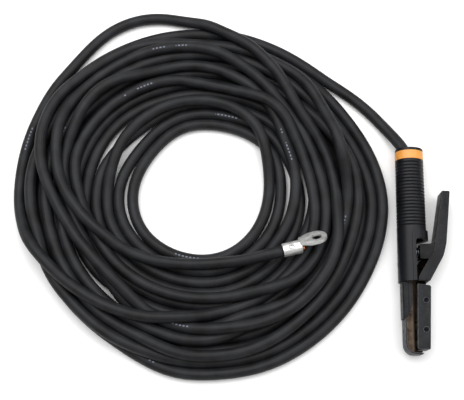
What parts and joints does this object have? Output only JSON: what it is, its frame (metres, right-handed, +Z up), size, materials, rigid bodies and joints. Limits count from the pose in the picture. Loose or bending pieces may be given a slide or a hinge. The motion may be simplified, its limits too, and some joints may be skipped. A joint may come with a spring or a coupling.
{
  "type": "welding electrode holder",
  "caption": "Tong-type stick electrode holder with a sprung lever jaw, a ribbed tube handle and a loosely coiled lead ending in a crimp lug.",
  "frame": {"origin": "on the table, under the middle of the box around the holder itself, without its lead", "axes": "+Y along the handle from the jaws to the cable end, +X towards the lever side, +Z up from the table the holder lies on"},
  "size_m": [0.4833, 0.4169, 0.0446],
  "materials": {
    "black_moulding": "satin moulded tube with fine ring grooves",
    "black_insulator": "matt glass-filled moulding",
    "orange_band": "satin printed sleeve, left plain",
    "copper_alloy": "cast copper alloy, dull, darkened",
    "copper": "bright stranded copper",
    "black_steel": "blackened steel",
    "spring_steel": "oiled spring wire",
    "fibre": "pressed fibre",
    "rubber": "matt rubber jacket",
    "tinned_copper": "tin plated"
  },
  "bodies": {
    "holder": {"handle": "black_moulding", "label_band": "orange_band", "handle_screw": "black_steel", "body_casting": "copper_alloy", "lower_jaw_insulator": "black_insulator", "lower_jaw_screw": "black_steel", "lower_tip_insulator": "black_insulator", "lower_tip_screw": "black_steel", "pivot_pin": "black_steel", "spring": "spring_steel", "spring_seat_inner": "fibre", "cable_screw_front": "black_steel", "cable_screw_rear": "black_steel", "copper_sleeve": "copper", "conductor_holder_end": "copper", "lead_cable": "rubber", "lead_coil": "rubber", "lead_tail": "rubber", "cable_lug": "tinned_copper", "conductor_lug_end": "copper"},
    "lever": {"lever_casting": "copper_alloy", "lever_insulator": "black_insulator", "lever_screw": "black_steel", "upper_jaw_insulator": "black_insulator", "jaw_screw_rear": "black_steel", "jaw_screw_front": "black_steel", "spring_seat_outer": "fibre"}
  },
  "joints": [
    {"name": "jaw_hinge", "type": "hinge", "parent": "holder", "child": "lever", "pos_m": [-0.01529, -0.02725, 0.0176], "axis": [0, 0, 1], "range_deg": [0, 6.3], "stiffness_Nm_per_rad": 12, "springref_deg": -17.19, "deforming": ["spring"]}
  ]
}
